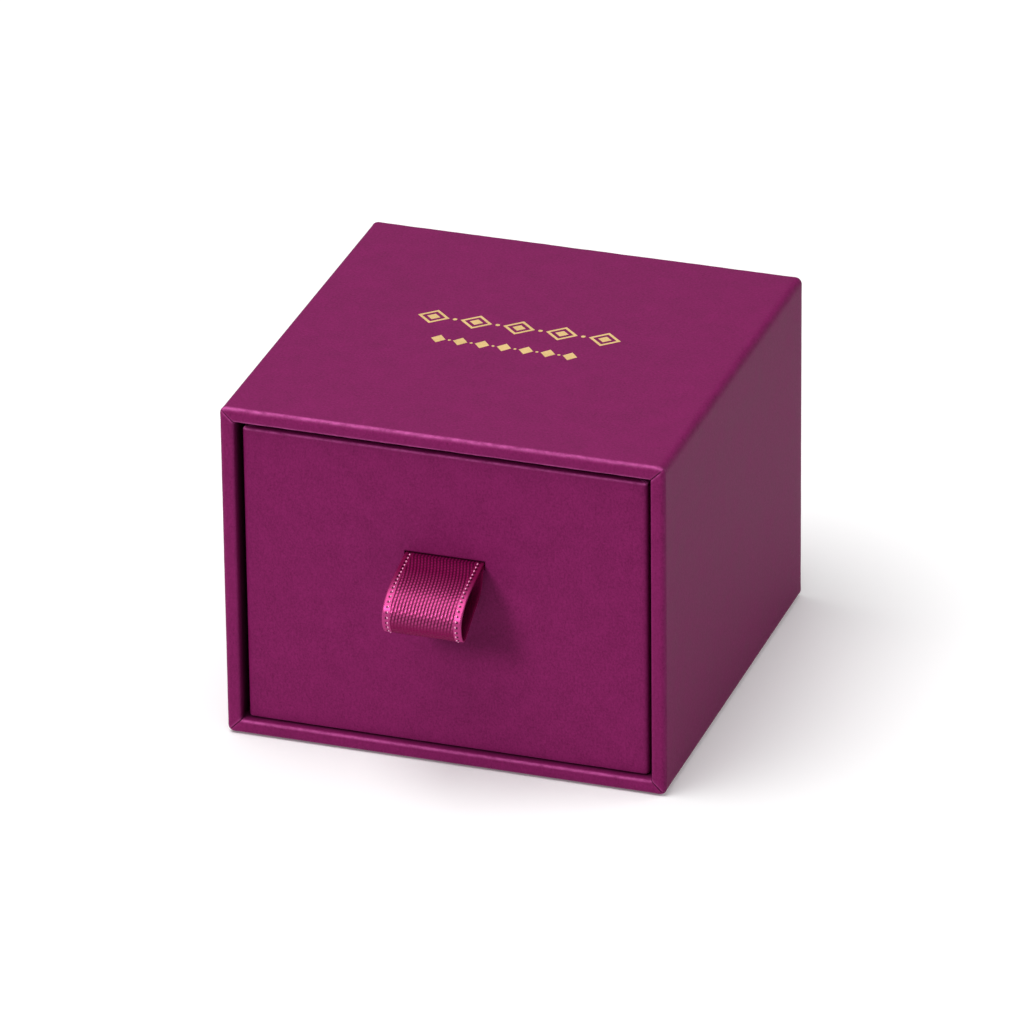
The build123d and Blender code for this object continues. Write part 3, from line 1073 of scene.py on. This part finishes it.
ribbonStitches = makeStitches(ribbon, ribbonLine, ribbonSteps)
bendStart, bendEnd = (Vector((0, drawerFront - out, slotHeight)) * mm for out in ribbon["bend"])
for piece in (ribbonPull, ribbonStitches):
    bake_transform(piece, "drawer", "ribbon_pull", start=bendStart, end=bendEnd)
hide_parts("ribbon_loop", "ribbon_tails")
print("stage: stitches", len(ribbonStitches.data.polygons), "faces")


# Ring pads: foam blocks under stretched velvet, with a slot between them

padShape = {
    "edge": 4.0,  # radii of the block's upper and lower edges
    "baseEdge": 0.6,
    "slack": 0.35,  # between the block and the tray
    "swellRoom": 1.4,  # above the block
    "cuts": 20,
    "voxel": 1.1,
    "enlarge": 10,  # the cloth is worked larger, where it behaves
    "pressure": 4.0,
    "frames": 20,
    "freeDepth": 7.0,  # below this the tray holds the velvet
    "cap": 1.3,  # the most that a point may move
    "fill": 0.85,
}
velvetFinish = {
    "dark": linear(46, 4, 32),
    "light": linear(92, 20, 68),
    "pilePerMetre": 5200.0,
    "strokesPerMetre": 140.0,
    "pileTone": 0.5,
    "strokeTone": 0.9,
    "toneShift": 0.25,
    "bump": 0.35,
    "bumpDepth": 0.0003,  # metres
    "roughness": 0.95,
    "specular": 0.1,
    "sheen": 0.6,
    "sheenRoughness": 0.4,
    "sheenTint": (0.8, 0.24, 0.55, 1),
}


def velvetMaterial(finish):
    material, tree, shader = newMaterial("padVelvet")
    place = objectPlace(tree)
    pile = speckle(tree, place, finish["pilePerMetre"], 3.0, 0.65)
    stroked = speckle(tree, place, finish["strokesPerMetre"], 3.0, distortion=0.8)
    tone = scaled(tree, stroked, finish["strokeTone"], times(tree, pile, finish["pileTone"]))
    tone = maths(tree, "SUBTRACT", tone, finish["toneShift"], clamp=True)
    setInputs(tree, shader, {
        "Base Color": mixColour(tree, tone, finish["dark"], finish["light"]),
        "Normal": relief(tree, finish["bump"], finish["bumpDepth"], pile),
        "Roughness": finish["roughness"],
        "Specular IOR Level": finish["specular"],
        "Sheen Weight": finish["sheen"],
        "Sheen Roughness": finish["sheenRoughness"],
        "Sheen Tint": finish["sheenTint"],
    })
    return material


def roundedBlock(name, low, high, cut):
    # a block with round upper edges, its grid fine enough to be remeshed
    shape = bmesh.new()
    bmesh.ops.create_cube(shape, size=1.0)
    bmesh.ops.subdivide_edges(shape, edges=shape.edges[:], cuts=cut["cuts"], use_grid_fill=True)
    for vertex in shape.verts:
        place = Vector([low[i] + (vertex.co[i] + 0.5) * (high[i] - low[i]) for i in range(3)])
        radius = cut["edge"] if vertex.co.z > 0 else cut["baseEdge"]
        core = Vector([min(max(place[i], low[i] + radius), high[i] - radius) for i in range(3)])
        away = place - core
        vertex.co = core + away.normalized() * radius if away.length > radius else place
    mesh = bpy.data.meshes.new(name)
    shape.to_mesh(mesh)
    shape.free()
    return addObject(name, mesh)


def inflate(piece, top, cut):
    # the velvet swells from the foam's pressure, held by the tray at its sides
    large = cut["enlarge"] * mm
    piece.data.transform(Matrix.Scale(large, 4))
    remesh = piece.modifiers.new("remesh", "REMESH")
    remesh.mode = "VOXEL"
    remesh.voxel_size = cut["voxel"] * large
    plainMesh(piece)
    before = meshPlaces(piece.data)
    held = piece.vertex_groups.new(name="heldByTray")
    for vertex in piece.data.vertices:
        weight = min(max((top * large - vertex.co.z) / (cut["freeDepth"] * large), 0), 1)
        held.add([vertex.index], weight, "REPLACE")
    cloth = piece.modifiers.new("velvet", "CLOTH")
    cloth.settings.vertex_group_mass = held.name
    cloth.settings.use_pressure = True
    cloth.settings.uniform_pressure_force = cut["pressure"]
    cloth.settings.effector_weights.gravity = 0
    cloth.collision_settings.use_collision = False
    cloth.point_cache.frame_start = 1
    cloth.point_cache.frame_end = cut["frames"]
    for step in range(1, cut["frames"] + 1):
        bpy.context.scene.frame_set(step)
    plainMesh(piece)
    bpy.context.scene.frame_set(1)
    move = meshPlaces(piece.data) - before
    length = np.linalg.norm(move, axis=1)[:, None]
    share = np.minimum(1, cut["cap"] * large / np.maximum(length, 1e-9))
    return (before + move * share) / cut["enlarge"]


def makePad(name, velvetNode, foamNode, cut, material):
    low, high = boxOf(velvetNode)
    slack = cut["slack"]
    blockLow = Vector((low.x + slack, low.y + slack, low.z))
    blockHigh = Vector((high.x - slack, high.y - slack, high.z - cut["swellRoom"]))
    piece = roundedBlock(name, blockLow, blockHigh, cut)
    places = inflate(piece, blockHigh.z, cut)
    places = np.clip(places, np.array(low[:]) * mm, np.array(high[:]) * mm)
    piece.data.vertices.foreach_set("co", places.astype(np.float32).ravel())
    piece.data.polygons.foreach_set("use_smooth", [True] * len(piece.data.polygons))
    piece.data.update()
    smooth = piece.modifiers.new("subdivision", "SUBSURF")
    smooth.levels = smooth.render_levels = 1
    piece.vertex_groups.clear()
    piece.data.materials.clear()
    piece.data.materials.append(material)
    print("pad", name, "top", round(float(places[:, 2].max() / mm), 2), "of", round(high.z, 2))
    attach(piece, "drawer")
    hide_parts(velvetNode, foamNode)


padVelvet = velvetMaterial(velvetFinish)
for side in ("front", "rear"):
    makePad(side + "RingPad", f"insert_{side}_velvet", f"insert_{side}_foam", padShape, padVelvet)
print("stage: ring pads")


# Foil ornament pressed into the top

ornament = {
    "centre": (-0.8, 0.5),
    "proud": 0.02,
    "thickness": 0.05,
    "rows": [
        {"rise": 3.9, "count": 5, "step": 6.85, "half": (2.55, 2.4), "dot": 0.36,
         "stroke": 0.62, "heart": 0.42},
        {"rise": -3.3, "count": 7, "step": 3.5, "half": (1.15, 1.35), "dot": 0.24, "stroke": 0.0},
    ],
}
foilFinish = {
    "dark": linear(236, 190, 112),
    "light": linear(252, 222, 156),
    "grainPerMetre": 3200.0,
    "broadPerMetre": 210.0,
    "roughness": (0.25, 0.2),  # change with the broad noise, and the least
    "bump": 0.12,
    "bumpDepth": 0.0002,  # metres
}


def foilMaterial(finish):
    material, tree, shader = newMaterial("goldFoil")
    place = objectPlace(tree)
    grain = speckle(tree, place, finish["grainPerMetre"], 3.0, 0.6)
    broad = speckle(tree, place, finish["broadPerMetre"], 2.0)
    setInputs(tree, shader, {
        "Base Color": mixColour(tree, grain, finish["dark"], finish["light"]),
        "Metallic": 1.0,
        "Roughness": scaled(tree, broad, *finish["roughness"]),
        "Normal": relief(tree, finish["bump"], finish["bumpDepth"], grain),
    })
    return material


def lozenge(x, y, half, share=1.0):
    across, down = (h * share for h in half)
    return [(x - across, y), (x, y - down), (x + across, y), (x, y + down)]


def roundDot(x, y, radius, count=20):
    turns = [2 * math.pi * i / count for i in range(count)]
    return [(x + radius * math.cos(t), y + radius * math.sin(t)) for t in turns]


def lozengeRow(centre, y, row):
    # filled outlines, and pairs of outlines with foil between them
    filled, banded = [], []
    for i in range(row["count"]):
        x = centre + (i - (row["count"] - 1) / 2) * row["step"]
        outer = lozenge(x, y, row["half"])
        if row["stroke"] > 0:
            banded.append((outer, lozenge(x, y, row["half"], 1 - row["stroke"] / min(row["half"]))))
            filled.append(lozenge(x, y, row["half"], row["heart"]))
        else:
            filled.append(outer)
        if i > 0:
            filled.append(roundDot(x - row["step"] / 2, y, row["dot"]))
    return filled, banded


def makeOrnament(cut):
    level = boxOf("sleeve_wrap")[1].z + cut["proud"]
    x, y = cut["centre"]
    points, faces = [], []
    for row in cut["rows"]:
        filled, banded = lozengeRow(x, y + row["rise"], row)
        for outline in filled:
            faces.append(tuple(range(len(points), len(points) + len(outline))))
            points += outline
        for outer, inner in banded:
            start = len(points)
            faces += [tuple(start + v for v in face) for face in tubeFaces(2, len(outer))]
            points += outer + inner
    vertices = [(p * mm, q * mm, level * mm) for p, q in points]
    piece = linkPiece("foilOrnament", vertices, faces, foilMaterial(foilFinish), smooth=False)
    thicken(piece, cut["thickness"])
    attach(piece, "sleeve")


makeOrnament(ornament)
print("stage: foil ornament")


# Finishes of the pieces that keep their CAD form

slotMaterials = {"lining_paper": liningPaper, "greyboard": greyBoard, "stay_tape": tapePaper}
for part in frame["record"]["subparts"]:
    node = frame["nodes"][part["node"]]
    node.data.materials.clear()
    node.data.materials.append(slotMaterials.get(part["material_slot"], plumPaper))
